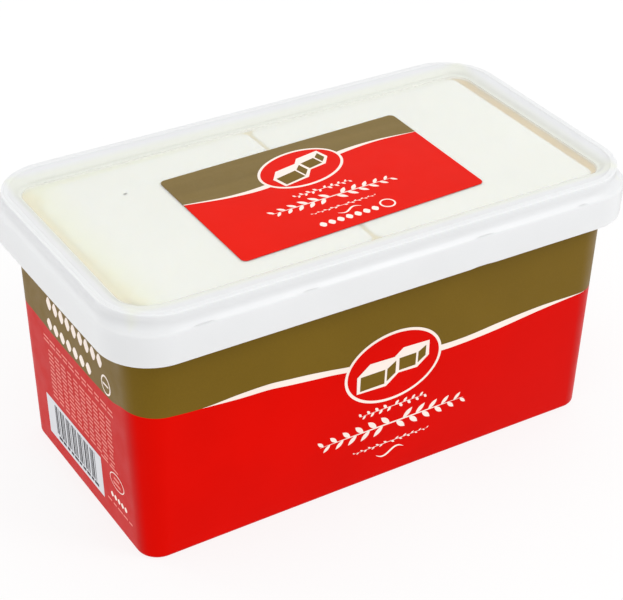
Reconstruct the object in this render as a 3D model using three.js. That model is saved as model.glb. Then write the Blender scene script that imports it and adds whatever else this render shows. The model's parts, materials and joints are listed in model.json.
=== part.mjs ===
// A lidded rectangular plastic tub holding two blocks of white cheese.
// Millimetres, +Z up. X runs along the long side, the front face looks towards -Y.
// The origin is the middle of the base, on the surface that the tub stands on.
import * as THREE from "three";

// Overall size of the closed pack, at the lid's skirt
const LENGTH = 175;
const WIDTH = 96;
const LID_TOP = 87.5;

// Tub body, measured from the outline of the skirt inwards
const BASE_INSET = 8.4;
const WALL_INSET = 5.2;
const WALL_TOP = 84.1;
const WALL = 0.8;
const FLOOR = 1.2;
const BASE_RADIUS = 6.2;
const WALL_RADIUS = 10.8;
const BASE_EDGE = 1.2;

// Flange that carries the lid, with its turned-down curtain
const FLANGE_TOP = 86.1;
const FLANGE_INSET = 3.1;
const FLANGE_RADIUS = 16.4;
const CURTAIN_INSET = 1.5;
const CURTAIN_TOP = 80;
const CURTAIN_BOTTOM = 74;
const CURTAIN = 1;

// Lid: tall skirt, soft shoulder, stacking rim and a shallow sunk panel
const SKIRT_BOTTOM = 71.9;
const SKIRT_TOP = 81;
const SKIRT = 0.95;
const SKIRT_RADIUS = 16.2;
const RIM_INSET = 1.1;
const RIM_RADIUS = 17.4;
const RIM_SHOULDER = 84.4;
const LID_SHEET = 0.9;
const PANEL_TOP = 85;
const PANEL_STEP = 1.3;
const PANEL_END_INSET = 7.5;
const PANEL_END_LEAN = 1.4;
const PANEL_SIDE_INSET = 9;
const PANEL_RADIUS = 6.4;
const PLUG_WALL = 0.45;

// Label stuck on the panel, turned a little
const LABEL_LENGTH = 83;
const LABEL_WIDTH = 50.4;
const LABEL_THICKNESS = 0.25;
const LABEL_RADIUS = 3;
const LABEL_X = 1;
const LABEL_Y = -2.5;
const LABEL_TURN = THREE.MathUtils.degToRad(2.6);

// Cheese blocks, cut square and set side by side with a narrow seam
const BLOCK_WIDTH = 75;
const BLOCK_TOP = 83.8;
const BLOCK_EDGE = 1;
const BLOCK_CORNER = 3;
const LEFT_BLOCK_START = -77.4;
const SEAM_X = -1.7;
const SEAM = 1.2;
const RIGHT_BLOCK_END = 76.5;

// Gap kept between pieces that touch on the real pack
const GAP = 0.3;
const CORNER_STEPS = 8;

const plastic = (color, roughness) => new THREE.MeshStandardMaterial({ color, roughness, metalness: 0 });
const lidPlastic = plastic(0xe8e9ee, 0.35);
const printedPlastic = plastic(0xd31c14, 0.32);
const labelPaper = plastic(0xd9231a, 0.4);
const cheese = plastic(0xf4f5ea, 0.6);

// A rounded rectangle at one height, counter-clockwise seen from above
function ring(halfX, halfY, radius, z) {
  const points = [];
  for (let corner = 0; corner < 4; corner += 1) {
    const signX = corner === 0 || corner === 3 ? 1 : -1;
    const signY = corner < 2 ? 1 : -1;
    for (let step = 0; step <= CORNER_STEPS; step += 1) {
      const angle = (corner + step / CORNER_STEPS) * (Math.PI / 2);
      const x = signX * (halfX - radius) + radius * Math.cos(angle);
      const y = signY * (halfY - radius) + radius * Math.sin(angle);
      points.push(new THREE.Vector3(x, y, z));
    }
  }
  return points;
}

// The outline of the pack drawn in by an inset
function inset(distance, z, radius) {
  return ring(LENGTH / 2 - distance, WIDTH / 2 - distance, radius, z);
}

// One closed skin through the rings: the first is capped facing down, the last facing up
function loft(rings) {
  const count = rings[0].length;
  const positions = rings.flat().flatMap((point) => point.toArray());
  const faces = [];
  for (let level = 0; level < rings.length - 1; level += 1) {
    for (let i = 0; i < count; i += 1) {
      const a = level * count + i;
      const b = level * count + ((i + 1) % count);
      faces.push(a, b, b + count, a, b + count, a + count);
    }
  }
  const cap = (level, facingUp) => {
    const centre = new THREE.Vector3();
    rings[level].forEach((point) => centre.add(point));
    centre.divideScalar(count);
    const hub = positions.length / 3;
    positions.push(...centre.toArray());
    for (let i = 0; i < count; i += 1) {
      const a = level * count + i;
      const b = level * count + ((i + 1) % count);
      faces.push(hub, facingUp ? a : b, facingUp ? b : a);
    }
  };
  cap(0, false);
  cap(rings.length - 1, true);
  const geometry = new THREE.BufferGeometry();
  geometry.setAttribute("position", new THREE.Float32BufferAttribute(positions, 3));
  geometry.setIndex(faces);
  geometry.computeVertexNormals();
  return geometry;
}

function piece(name, geometry, material) {
  const mesh = new THREE.Mesh(geometry, material);
  mesh.name = name;
  return mesh;
}

// Inset and corner radius of the tapered wall's outer face at a height
function wallInset(z) {
  return THREE.MathUtils.lerp(BASE_INSET, WALL_INSET, z / WALL_TOP);
}

function wallRadius(z) {
  return THREE.MathUtils.lerp(BASE_RADIUS, WALL_RADIUS, z / WALL_TOP);
}

function makeTub() {
  const outer = (z, extra = 0) => inset(wallInset(z) + extra, z, wallRadius(z) - extra);
  const inner = (z, extra = 0) => inset(wallInset(z) + WALL + extra, z, wallRadius(z) - WALL - extra);
  const curtainRadius = SKIRT_RADIUS - CURTAIN_INSET;
  return loft([
    outer(0, BASE_EDGE),
    inset(wallInset(0) + BASE_EDGE * 0.3, BASE_EDGE * 0.3, BASE_RADIUS - BASE_EDGE * 0.3),
    outer(BASE_EDGE),
    outer(WALL_TOP - CURTAIN),
    inset(FLANGE_INSET + CURTAIN, WALL_TOP, FLANGE_RADIUS - CURTAIN),
    inset(CURTAIN_INSET + CURTAIN, CURTAIN_TOP, curtainRadius - CURTAIN),
    inset(CURTAIN_INSET + CURTAIN, CURTAIN_BOTTOM, curtainRadius - CURTAIN),
    inset(CURTAIN_INSET, CURTAIN_BOTTOM, curtainRadius),
    inset(CURTAIN_INSET, CURTAIN_TOP, curtainRadius),
    inset(FLANGE_INSET, FLANGE_TOP, FLANGE_RADIUS),
    inset(WALL_INSET + WALL, FLANGE_TOP - 1, wallRadius(WALL_TOP) - WALL),
    inner(WALL_TOP),
    inner(FLOOR + BASE_EDGE),
    inner(FLOOR, BASE_EDGE),
  ]);
}

// How far the step's end walls lean outwards at a height
function endLean(z) {
  return PANEL_END_LEAN * THREE.MathUtils.clamp((z - PANEL_TOP) / PANEL_STEP, 0, 1);
}

function makeLid() {
  const panel = (extra, z) => ring(
    LENGTH / 2 - PANEL_END_INSET + endLean(z) + extra,
    WIDTH / 2 - PANEL_SIDE_INSET + extra,
    PANEL_RADIUS + extra,
    z,
  );
  const under = PANEL_TOP - LID_SHEET;
  const rimLow = PANEL_TOP + PANEL_STEP;
  const rimCorner = RIM_RADIUS;
  return loft([
    panel(PLUG_WALL * 0.5, under),
    panel(PLUG_WALL, under + LID_SHEET * 0.3),
    panel(PLUG_WALL, rimLow - LID_SHEET),
    inset(RIM_INSET + SKIRT + 0.4, LID_TOP - LID_SHEET, rimCorner - SKIRT - 0.4),
    inset(RIM_INSET + SKIRT, LID_TOP - LID_SHEET - 0.5, rimCorner - SKIRT),
    inset(RIM_INSET + SKIRT, RIM_SHOULDER - 0.2, rimCorner - SKIRT),
    inset(SKIRT + 0.25, SKIRT_TOP + 0.3, SKIRT_RADIUS - SKIRT - 0.25),
    inset(SKIRT, SKIRT_BOTTOM + 0.3, SKIRT_RADIUS - SKIRT),
    inset(SKIRT * 0.7, SKIRT_BOTTOM, SKIRT_RADIUS - SKIRT * 0.7),
    inset(SKIRT * 0.3, SKIRT_BOTTOM, SKIRT_RADIUS - SKIRT * 0.3),
    inset(0, SKIRT_BOTTOM + 0.3, SKIRT_RADIUS),
    inset(0.2, SKIRT_TOP, SKIRT_RADIUS - 0.2),
    inset(0.35, SKIRT_TOP + 1.2, SKIRT_RADIUS - 0.2),
    inset(0.7, SKIRT_TOP + 2.2, SKIRT_RADIUS),
    inset(RIM_INSET, RIM_SHOULDER, rimCorner - 0.5),
    inset(RIM_INSET, LID_TOP - 0.45, rimCorner),
    inset(RIM_INSET + 0.15, LID_TOP - 0.12, rimCorner - 0.15),
    inset(RIM_INSET + 0.5, LID_TOP, rimCorner - 0.5),
    panel(0.4, rimLow + 0.05),
    panel(0.1, rimLow - 0.3),
    panel(0, PANEL_TOP),
  ]);
}

function makeLabel() {
  const bottom = PANEL_TOP + GAP / 2;
  const turned = (z) => ring(LABEL_LENGTH / 2, LABEL_WIDTH / 2, LABEL_RADIUS, z).map((point) => {
    point.applyAxisAngle(new THREE.Vector3(0, 0, 1), LABEL_TURN);
    return point.add(new THREE.Vector3(LABEL_X, LABEL_Y, 0));
  });
  return loft([turned(bottom), turned(bottom + LABEL_THICKNESS)]);
}

function makeBlock(startX, endX) {
  const middle = (startX + endX) / 2;
  const floor = FLOOR + GAP;
  const slice = (z, shrink) => {
    const halfX = (endX - startX) / 2 - shrink;
    return ring(halfX, BLOCK_WIDTH / 2 - shrink, BLOCK_CORNER - shrink / 2, z)
      .map((point) => point.add(new THREE.Vector3(middle, 0, 0)));
  };
  return loft([
    slice(floor, BLOCK_EDGE),
    slice(floor + BLOCK_EDGE * 0.3, BLOCK_EDGE * 0.3),
    slice(floor + BLOCK_EDGE, 0),
    slice(BLOCK_TOP - BLOCK_EDGE, 0),
    slice(BLOCK_TOP - BLOCK_EDGE * 0.3, BLOCK_EDGE * 0.3),
    slice(BLOCK_TOP, BLOCK_EDGE),
  ]);
}

const pack = new THREE.Group();
pack.add(
  piece("tub", makeTub(), printedPlastic),
  piece("lid", makeLid(), lidPlastic),
  piece("lid_label", makeLabel(), labelPaper),
  piece("cheese_block_left", makeBlock(LEFT_BLOCK_START, SEAM_X - SEAM / 2), cheese),
  piece("cheese_block_right", makeBlock(SEAM_X + SEAM / 2, RIGHT_BLOCK_END), cheese),
);

export default pack;
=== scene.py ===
"""Finishes a lidded tub of white cheese blocks: printed tub, milky lid, label, cheese and brine."""
import json
import math

import bmesh
import bpy
from bpy.props import FloatProperty, FloatVectorProperty, IntProperty, PointerProperty
from mathutils import Matrix, Vector
from mathutils.geometry import tessellate_polygon

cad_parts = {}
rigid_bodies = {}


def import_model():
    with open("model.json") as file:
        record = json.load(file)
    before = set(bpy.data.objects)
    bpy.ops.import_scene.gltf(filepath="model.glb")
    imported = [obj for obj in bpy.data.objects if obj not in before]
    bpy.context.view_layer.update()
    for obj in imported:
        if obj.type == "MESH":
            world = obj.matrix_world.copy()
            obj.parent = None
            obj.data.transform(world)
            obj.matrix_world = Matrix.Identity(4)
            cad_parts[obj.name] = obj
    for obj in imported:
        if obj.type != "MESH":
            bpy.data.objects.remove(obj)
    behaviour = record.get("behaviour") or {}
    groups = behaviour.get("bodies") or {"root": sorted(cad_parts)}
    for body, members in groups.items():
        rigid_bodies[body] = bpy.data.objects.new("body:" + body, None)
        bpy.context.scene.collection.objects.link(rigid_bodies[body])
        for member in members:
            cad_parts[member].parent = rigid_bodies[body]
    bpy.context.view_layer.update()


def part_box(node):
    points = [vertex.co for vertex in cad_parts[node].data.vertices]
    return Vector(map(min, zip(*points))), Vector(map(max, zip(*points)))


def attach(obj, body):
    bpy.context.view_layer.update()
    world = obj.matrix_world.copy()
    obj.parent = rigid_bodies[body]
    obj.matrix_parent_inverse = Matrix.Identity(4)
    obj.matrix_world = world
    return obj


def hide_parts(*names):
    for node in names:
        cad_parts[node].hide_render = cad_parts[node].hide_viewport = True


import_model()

bl_info = {
    "name": "White cheese tub",
    "version": (1, 0, 0),
    "blender": (4, 5, 0),
    "location": "3D View > Sidebar > Cheese tub",
    "description": "Makes the finished pieces of a lidded tub of white cheese",
    "category": "Mesh",
}

MM = 0.001
_, TUB_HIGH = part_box("tub")
LID_LOW, LID_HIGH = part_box("lid")
LABEL_LOW, LABEL_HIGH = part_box("lid_label")
LEFT_LOW, LEFT_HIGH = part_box("cheese_block_left")
RIGHT_LOW, RIGHT_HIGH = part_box("cheese_block_right")
HALF_LENGTH = LID_HIGH.x
HALF_WIDTH = LID_HIGH.y

QUARTER = math.pi / 2
# The corners of the plan, counter-clockwise from the back right one
CORNERS = ((1, 1), (-1, 1), (-1, -1), (1, -1))
FRONT, RIGHT_END, BACK, LEFT_END = range(4)
# Points closer together than this are joined
JOIN = 0.002 * MM
# Height at which distances round the tub's wall are measured
MEASURED = 48 * MM
# Where the base starts to stand forward of square, how far on it does so fully, and how that grows
DRIFT_START, DRIFT_REACH, DRIFT_GROWTH = 20 * MM, 98 * MM, 1.3
# Stretches of the shoulder's front with a moulded bead, in millimetres from the middle
BEADS = ((-66.7, -59.8), (-32.8, -27.6), (24.8, 31.5), (61.8, 65.5))
# The slight kink in the front's lower edge: where it starts, its length, its rise and how far up it fades
KINK_START, KINK_LENGTH, KINK_RISE, KINK_FADE = 23.5 * MM, 9.3 * MM, 0.3 * MM, 1.2 * MM
# Millimetres past the panel's edge at which the pull of its full corner has faded out
CORNER_FADE = 3
# Most of a noise texture's values lie between these
NOISE_LOW, NOISE_HIGH = 0.3, 0.7
# Share of a glancing view at which a printed surface starts to gain gloss and painted shade, and at which it
# has gained them
GLANCING = (0.33, 0.52)
# The lamps: name, place, width and power
LAMPS = (("Shoulder softbox", (0.5, -0.65, 0.8), 0.34, 2.1), ("End softbox", (-0.6, 0.8, 0.5), 0.25, 0.8))


def millimetres(name, description, value):
    """A length property with its default given in millimetres."""
    return FloatProperty(name=name, description=description, default=value * MM, unit="LENGTH", precision=4)


def degrees(name, description, value):
    """An angle property with its default given in degrees."""
    return FloatProperty(name=name, description=description, default=math.radians(value), subtype="ANGLE")


def paint(red, green, blue):
    """A linear colour from its 8-bit screen values."""
    def linear(value):
        share = value / 255
        return share / 12.92 if share <= 0.04045 else ((share + 0.055) / 1.055) ** 2.4
    return linear(red), linear(green), linear(blue)


def colour(name, description, red, green, blue):
    """A colour property with its default given in 8-bit screen values."""
    return FloatVectorProperty(
        name=name, description=description, default=paint(red, green, blue), subtype="COLOR", min=0, max=1)


def spot(name, description, x, y):
    """A place or a half size in a flat drawing, with its default given in millimetres."""
    return FloatVectorProperty(
        name=name, description=description, default=(x * MM, y * MM), size=2, unit="LENGTH")


class TubSizes(bpy.types.PropertyGroup):
    base_inset: millimetres("Base inset", "How far the base stands in from the lid's skirt", 8.4)
    wall_inset: millimetres("Wall inset", "How far the wall's top stands in from the skirt", 5.2)
    wall_top: millimetres("Wall top", "Height where the wall turns out into the flange", 84.1)
    wall: millimetres("Wall", "Thickness of the tub's wall", 0.8)
    floor: millimetres("Floor", "Thickness of the tub's floor", 1.2)
    base_radius: millimetres("Base radius", "Corner radius of the base in plan", 6.7)
    wall_radius: millimetres("Wall radius", "Corner radius of the wall's top in plan", 11.3)
    base_edge: millimetres("Base edge", "Rounding of the edge round the base", 1.2)
    flange_inset: millimetres("Flange inset", "How far the flange stands in from the skirt", 3.1)
    flange_radius: millimetres("Flange radius", "Corner radius of the flange", 16.4)
    curtain_inset: millimetres("Curtain inset", "How far the turned-down curtain stands in", 1.5)
    curtain_top: millimetres("Curtain top", "Height of the curtain's upper edge", 80)
    curtain_bottom: millimetres("Curtain bottom", "Height of the curtain's lower edge", 74)
    curtain: millimetres("Curtain", "Thickness of the curtain", 1)
    curtain_radius: millimetres("Curtain radius", "Corner radius of the curtain", 14.7)
    drift: millimetres("Drift", "How far forward of square the base's left end stands", 1.1)
    print_lift: millimetres("Print lift", "How far each layer of print lies above the one below", 0.04)


class LidSizes(bpy.types.PropertyGroup):
    skirt_top: millimetres("Skirt top", "Height where the skirt meets the shoulder", 81)
    skirt: millimetres("Skirt", "Thickness of the skirt", 0.95)
    skirt_radius: millimetres("Skirt radius", "Corner radius of the skirt", 16.2)
    bulge: millimetres("Bulge", "How far the shoulder stands out past the skirt's lower edge", 0.3)
    rim_inset: millimetres("Rim inset", "How far the stacking rim stands in from the skirt", 1.25)
    rim_radius: millimetres("Rim radius", "Corner radius of the stacking rim", 17.4)
    rim_shoulder: millimetres("Rim shoulder", "Height where the shoulder turns up into the stacking rim", 84)
    groove: millimetres("Groove", "Depth of the fine groove round the rim's top", 0.07)
    sheet: millimetres("Sheet", "Thickness of the lid's flat parts", 0.9)
    panel_top: millimetres("Panel top", "Height of the clear panel", 85)
    film: millimetres("Film", "Thickness of the clear panel", 0.15)
    step: millimetres("Step", "Height of the step from the panel up to the rim", 1.3)
    end_inset: millimetres("End inset", "How far the panel stands in at the two ends", 7.5)
    end_lean: millimetres("End lean", "How far the step leans outwards at the ends", 1.4)
    side_inset: millimetres("Side inset", "How far the panel stands in at the long sides", 9)
    panel_radius: millimetres("Panel radius", "Corner radius of the panel", 6.4)
    full_corner: millimetres("Full corner", "Radius of the panel's front left corner, the roundest", 11)
    plug_wall: millimetres("Plug wall", "Thickness of the step's wall", 0.45)
    end_foot: millimetres("End foot", "Width of the sloping foot of the step at the ends", 0.3)
    side_foot: millimetres("Side foot", "Width of the sloping foot of the step at the long sides", 0.7)
    bead: millimetres("Bead", "Height of the short moulded beads on the shoulder", 0.22)
    tint: colour("Milky plastic", "Colour of the lid's frame", 232, 233, 234)
    # Painted light: the glow is a warm tint that stands in for light from the cheese shining through the
    # frame
    glow: colour("Glow", "Colour of the frame inside the rim, lit through by the cheese", 233, 235, 225)
    haze: FloatProperty(name="Haze", description="How milky the clear panel is", default=0.06, min=0, max=1)


class PrintLook(bpy.types.PropertyGroup):
    red: colour("Red", "Colour of the print's lower field", 222, 9, 1)
    gold: colour("Gold", "Colour of the tub's upper band", 115, 90, 23)
    cream: colour("Cream", "Colour of the stripe, the rings and the ornament", 252, 238, 228)
    label_red: colour("Label red", "Colour of the label's lower field", 228, 22, 3)
    label_gold: colour("Label gold", "Colour of the label's upper band", 124, 104, 57)
    faint: colour("Faint", "Colour of the finest bars on the left end", 236, 140, 130)
    paper: colour("Paper", "Colour of the pale panel on the left end", 222, 224, 228)
    ink: colour("Ink", "Colour of the dark bars on the left end", 40, 36, 44)
    badge_centre: spot("Badge centre", "Place of the badge along the front and above the base", 3.1, 41.7)
    badge_half: spot("Badge half size", "Half length and half height of the oval badge", 17.1, 12.6)
    ring: millimetres("Ring", "Width of the badge's pale ring", 0.95)


class LabelSizes(bpy.types.PropertyGroup):
    length: millimetres("Length", "Length of the label before it is stuck down", 84)
    width: millimetres("Width", "Width of the label before it is stuck down", 51)
    back_left: spot("Back left", "Place of the label's back left corner", -40.8, 21.6)
    back_right: spot("Back right", "Place of the label's back right corner", 43.6, 24.3)
    front_right: spot("Front right", "Place of the label's front right corner", 43.3, -26.4)
    front_left: spot("Front left", "Place of the label's front left corner", -41.3, -30.2)
    thickness: millimetres("Thickness", "Thickness of the label", 0.16)
    radius: millimetres("Radius", "Corner radius of the label", 1.8)
    turn: degrees("Turn", "How far the label's badge and ornament are turned on the lid", 1.8)
    shift: spot("Shift", "From the middle of the label's box to the middle of its print", -0.5, -0.3)
    badge_turn: degrees("Badge turn", "How far the label's badge is turned on it", 11.2)
    badge_centre: spot("Badge centre", "Place of the oval badge from the label's middle", 0, 11)
    badge_half: spot("Badge half size", "Half length and half height of the oval badge", 15.1, 10)
    ring: millimetres("Ring", "Width of the badge's pale ring", 0.85)


class CheeseLook(bpy.types.PropertyGroup):
    edge: millimetres("Edge", "Rounding of a block's edges", 0.8)
    spread: millimetres("Spread", "How far each block swells into the seam", 0.15)
    skew: millimetres("Skew", "How far the left block's back edge runs in towards the left end", 2.2)
    corner: millimetres("Corner", "Rounding of a block's upright corners", 3)
    worn_corner: millimetres("Worn corner", "Rounding of the left block's two corners at the left end", 9)
    spacing: millimetres("Spacing", "Distance between the points of a block's surface", 1.1)
    relief: millimetres("Relief", "Depth of the unevenness left by the draining cloth", 0.1)
    rise: millimetres("Rise", "How far a block's top swells up towards the panel", 0.9)
    brine_level: millimetres("Brine level", "Height of the brine round the blocks", 84.35)
    white: colour("White", "Colour of the cheese", 234, 236, 228)
    yellow: colour("Yellow", "Colour of the brine and the stained cheese at the left end", 230, 221, 178)
    pale_brine: colour("Pale brine", "Colour of the brine at the back", 234, 237, 206)
    # The brine colour is the brine's tan with painted shade of the narrow gaps at the right end and in the
    # seam
    brine: colour("Brine", "Colour of the brine at the right end and in the seam", 198, 168, 90)
    seed: IntProperty(name="Seed", description="Seed of the unevenness", default=4, min=0)


class StageSetup(bpy.types.PropertyGroup):
    azimuth: degrees("Azimuth", "Direction the camera looks from, round the pack", -31.8847)
    elevation: degrees("Elevation", "Height the camera looks from, above the horizon", 32.743)
    roll: degrees("Roll", "Turn of the camera about its own axis", 1.0943)
    distance: millimetres("Distance", "From the camera to the point it looks at", 565.518)
    target: FloatVectorProperty(
        name="Target", description="Point that the camera looks at",
        default=(-2.124 * MM, -3.094 * MM, 45 * MM), unit="LENGTH")
    lens: FloatProperty(name="Lens", description="Focal length on a 36 mm sensor", default=106.222, min=1)
    sky: FloatProperty(name="Sky", description="Strength of the even white light", default=0.82, min=0)
    floor_size: FloatProperty(name="Floor", description="Width of the floor", default=6, unit="LENGTH")
    floor_glow: FloatProperty(
        name="Floor glow", description="Light from the floor itself", default=0.82, min=0)


def sizes(name):
    """The settings of one group, as the scene holds them."""
    return getattr(bpy.context.scene, "cheese_tub_" + name)


def lerp(low, high, share):
    return low + (high - low) * share


def smooth_curve(keys, x):
    """The height at x of the smooth curve through keys, a list of (x, height) in rising x."""
    if x <= keys[0][0]:
        return keys[0][1]
    for i in range(len(keys) - 1):
        (x0, h0), (x1, h1) = keys[i], keys[i + 1]
        if x <= x1:
            before, after = keys[max(i - 1, 0)], keys[min(i + 2, len(keys) - 1)]
            slope0 = (h1 - before[1]) / (x1 - before[0])
            slope1 = (after[1] - h0) / (after[0] - x0)
            span = x1 - x0
            t = (x - x0) / span
            return ((2 * t ** 3 - 3 * t ** 2 + 1) * h0 + (t ** 3 - 2 * t ** 2 + t) * span * slope0
                    + (3 * t ** 2 - 2 * t ** 3) * h1 + (t ** 3 - t ** 2) * span * slope1)
    return keys[-1][1]


# Building meshes


def object_from(name, mesh):
    """A new object at the origin that holds the mesh."""
    mesh.name = name
    made = bpy.data.objects.new(name, mesh)
    bpy.context.scene.collection.objects.link(made)
    return made


def mesh_from(name, points, faces, smooth=True):
    mesh = bpy.data.meshes.new(name)
    mesh.from_pydata([tuple(point) for point in points], [], faces)
    mesh.polygons.foreach_set("use_smooth", [smooth] * len(mesh.polygons))
    mesh.update()
    return mesh


def plan_samples(corner_steps, side_steps):
    """Places round a rounded rectangle: (corner, share of its turn, share of the straight run after it)."""
    for corner in range(4):
        for step in range(corner_steps):
            yield corner, step / corner_steps, 0.0
        for step in range(side_steps):
            yield corner, 1.0, step / side_steps


def plan_point(half_x, half_y, radius, sample, height):
    """The point at a sample of a rounded rectangle of that size."""
    corner, turn, run = sample
    angle = (corner + turn) * QUARTER
    here, following = CORNERS[corner], CORNERS[(corner + 1) % 4]
    x = lerp(here[0], following[0], run) * (half_x - radius) + radius * math.cos(angle)
    y = lerp(here[1], following[1], run) * (half_y - radius) + radius * math.sin(angle)
    return Vector((x, y, height))


def wall_plan(height):
    """Half length, half width and corner radius of the tub's outer wall at a height."""
    tub = sizes("tub")
    share = height / tub.wall_top
    inset = lerp(tub.base_inset, tub.wall_inset, share)
    return HALF_LENGTH - inset, HALF_WIDTH - inset, lerp(tub.base_radius, tub.wall_radius, share)


def askew(point):
    """Where a place on the tub really stands: the base's left end is a little forward of square."""
    tub = sizes("tub")
    along = min(max((DRIFT_START - point.x) / DRIFT_REACH, 0), 1) ** DRIFT_GROWTH
    below = max(1 - point.z / tub.wall_top, 0)
    return point - Vector((0, tub.drift * along * below, 0))


def wall_point(face, along, height, lift=0.0):
    """A point on the outer wall: along runs to the right from a face's middle, and on round its corner."""
    half_x, half_y, radius = wall_plan(height)
    run, depth = (half_x, half_y) if face in (FRONT, BACK) else (half_y, half_x)
    flat = run - radius
    side = 1 if along >= 0 else -1
    turn = min(max((abs(along) - flat) / radius, 0), QUARTER)
    beyond = max(abs(along) - flat - radius * QUARTER, 0)
    across = min(abs(along), flat) + (radius + lift) * math.sin(turn)
    out = depth - radius + (radius + lift) * math.cos(turn) - beyond
    u = side * across
    x, y = ((u, -out), (out, u), (-u, out), (-out, -u))[face]
    return askew(Vector((x, y, height)))


def perimeter(face, along, plan):
    """Distance round the wall of a place on a face, counter-clockwise from the front face's left end."""
    half_x, half_y, radius = plan
    flats = (half_x - radius, half_y - radius)
    arc = radius * QUARTER
    start = sum(2 * flats[earlier % 2] + arc for earlier in range(face))
    return start + flats[face % 2] + along


# Height of the line where gold meets red, in millimetres along each face and above the base
FRONT_LINE = ((-61, 49.8), (-49.2, 50.3), (-39.3, 50.3), (-33, 49.6), (-25.4, 48.7), (-18.5, 47.65),
              (-13.9, 46.85), (3, 44.5), (20.9, 43.2), (29.6, 43.2), (41.9, 44.3), (56.7, 45.2), (71, 45.1))
STRIPE_LINE = ((-61, 49.8), (-49.2, 48.8), (-39.2, 48.35), (-33, 47.5), (-25.4, 46.55), (-18.5, 45.75),
               (-13.8, 45.0), (3, 42.6), (21.1, 41.1), (28, 41.15), (35.7, 41.55), (42.2, 42.1),
               (56.9, 43.75), (74, 45.1))
LEFT_LINE = ((-31.8, 49.7), (-8.6, 48.5), (24.5, 49.1), (33.7, 51.5))
RIGHT_LINE = ((-28, 45.2), (0, 46.0), (28, 45.2))


def mirrored(keys):
    return tuple((-x, height) for x, height in reversed(keys))


def field_line(distance, plan):
    """Height of the line between gold and red at a distance round the wall."""
    half_x, half_y, radius = plan
    total = 4 * (half_x - radius) + 4 * (half_y - radius) + 4 * radius * QUARTER
    keys = []
    for face, line in ((FRONT, FRONT_LINE), (RIGHT_END, RIGHT_LINE), (BACK, mirrored(FRONT_LINE)),
                       (LEFT_END, LEFT_LINE)):
        keys += [(perimeter(face, x * MM, plan), height * MM) for x, height in line]
    around = [(x - total, height) for x, height in keys[-2:]] + keys
    around += [(x + total, height) for x, height in keys[:2]]
    return smooth_curve(around, distance)


def loft_faces(count, levels):
    """Quads between stacked rings of count points, facing out where the rings rise along an outer wall."""
    faces = []
    for level in range(levels - 1):
        for i in range(count):
            a, b = level * count + i, level * count + (i + 1) % count
            faces.append((a, b, b + count, a + count))
    return faces


# Flat shapes of print, laid on a wall or a label


class Print:
    """Thin closed shapes in a flat drawing, gathered by colour and laid on a surface."""

    def __init__(self, place, step):
        self.place = place
        self.step = step
        self.shapes = {}

    def add(self, ink, points, faces):
        held = self.shapes.setdefault(ink, ([], []))
        start = len(held[0])
        held[0].extend(self.place(x, y, lift) for x, y, lift in points)
        held[1].extend(tuple(start + i for i in face) for face in faces)

    def prism(self, ink, outline, triangles, layer):
        """A flat shape one print layer thick, at a layer above the surface."""
        count = len(outline)
        top = [(x, y, layer * self.step) for x, y in outline]
        bottom = [(x, y, (layer - 1.5) * self.step) for x, y in outline]
        faces = [tuple(t) for t in triangles]
        faces += [tuple(count + i for i in reversed(t)) for t in triangles]
        edges = {}
        for t in triangles:
            for i in range(len(t)):
                edges[(t[i], t[(i + 1) % len(t)])] = True
        faces += [(b, a, a + count, b + count) for a, b in edges if (b, a) not in edges]
        self.add(ink, top + bottom, faces)

    def polygon(self, ink, outline, layer):
        """A shape inside a counter-clockwise outline."""
        flat = [Vector((x, y, 0)) for x, y in outline]
        triangles = []
        for a, b, c in tessellate_polygon([flat]):
            turn = (flat[b] - flat[a]).cross(flat[c] - flat[a]).z
            triangles.append((a, b, c) if turn > 0 else (a, c, b))
        self.prism(ink, outline, triangles, layer)

    def ribbon(self, ink, lower, upper, layer):
        """A band between two rows of points, both from left to right."""
        count = len(lower)
        quads = [(i, i + 1, count + i + 1, count + i) for i in range(count - 1)]
        self.prism(ink, list(lower) + list(upper), quads, layer)

    def oval(self, ink, centre, half, layer, turn=0.0, steps=96):
        rings = 6
        outline = [centre]
        for ring in range(1, rings + 1):
            for step in range(steps):
                angle = step / steps * 4 * QUARTER
                x, y = half[0] * math.cos(angle) * ring / rings, half[1] * math.sin(angle) * ring / rings
                outline.append((centre[0] + x * math.cos(turn) - y * math.sin(turn),
                                centre[1] + x * math.sin(turn) + y * math.cos(turn)))
        faces = [(0, 1 + step, 1 + (step + 1) % steps) for step in range(steps)]
        for ring in range(rings - 1):
            inner, outer = 1 + ring * steps, 1 + (ring + 1) * steps
            for step in range(steps):
                after = (step + 1) % steps
                faces.append((inner + step, outer + step, outer + after, inner + after))
        self.prism(ink, outline, faces, layer)

    def bar(self, ink, left, bottom, length, height, layer):
        """A plain upright rectangle."""
        steps = max(2, int(length / (4 * MM)))
        xs = [left + length * i / steps for i in range(steps + 1)]
        self.ribbon(ink, [(x, bottom) for x in xs], [(x, bottom + height) for x in xs], layer)

    def stroke(self, ink, path, width, layer):
        """A stroke along a path that swells in its middle and tapers to both ends."""
        lower, upper = [], []
        for i, point in enumerate(path):
            before, after = Vector(path[max(i - 1, 0)]), Vector(path[min(i + 1, len(path) - 1)])
            along = (after - before).normalized()
            half = 0.5 * width * (0.12 + 0.88 * math.sin(math.pi * i / (len(path) - 1)))
            lower.append((point[0] + along.y * half, point[1] - along.x * half))
            upper.append((point[0] - along.y * half, point[1] + along.x * half))
        self.ribbon(ink, lower, upper, layer)

    def marks(self, ink, mesh, x, y, layer):
        """A made row of marks, moved to x, y."""
        points = [(x + v.co.x, y + v.co.y, layer * self.step + v.co.z) for v in mesh.vertices]
        self.add(ink, points, [tuple(face.vertices) for face in mesh.polygons])

    def objects(self, name, inks):
        """One riding piece for each ink."""
        made = []
        for ink, (points, faces) in self.shapes.items():
            piece = object_from(f"{name}_{ink}", mesh_from(f"{name}_{ink}", points, faces, smooth=False))
            piece.data.materials.append(inks[ink])
            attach(piece, "root")
            made.append(piece)
        return made


# Geometry node trees


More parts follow.
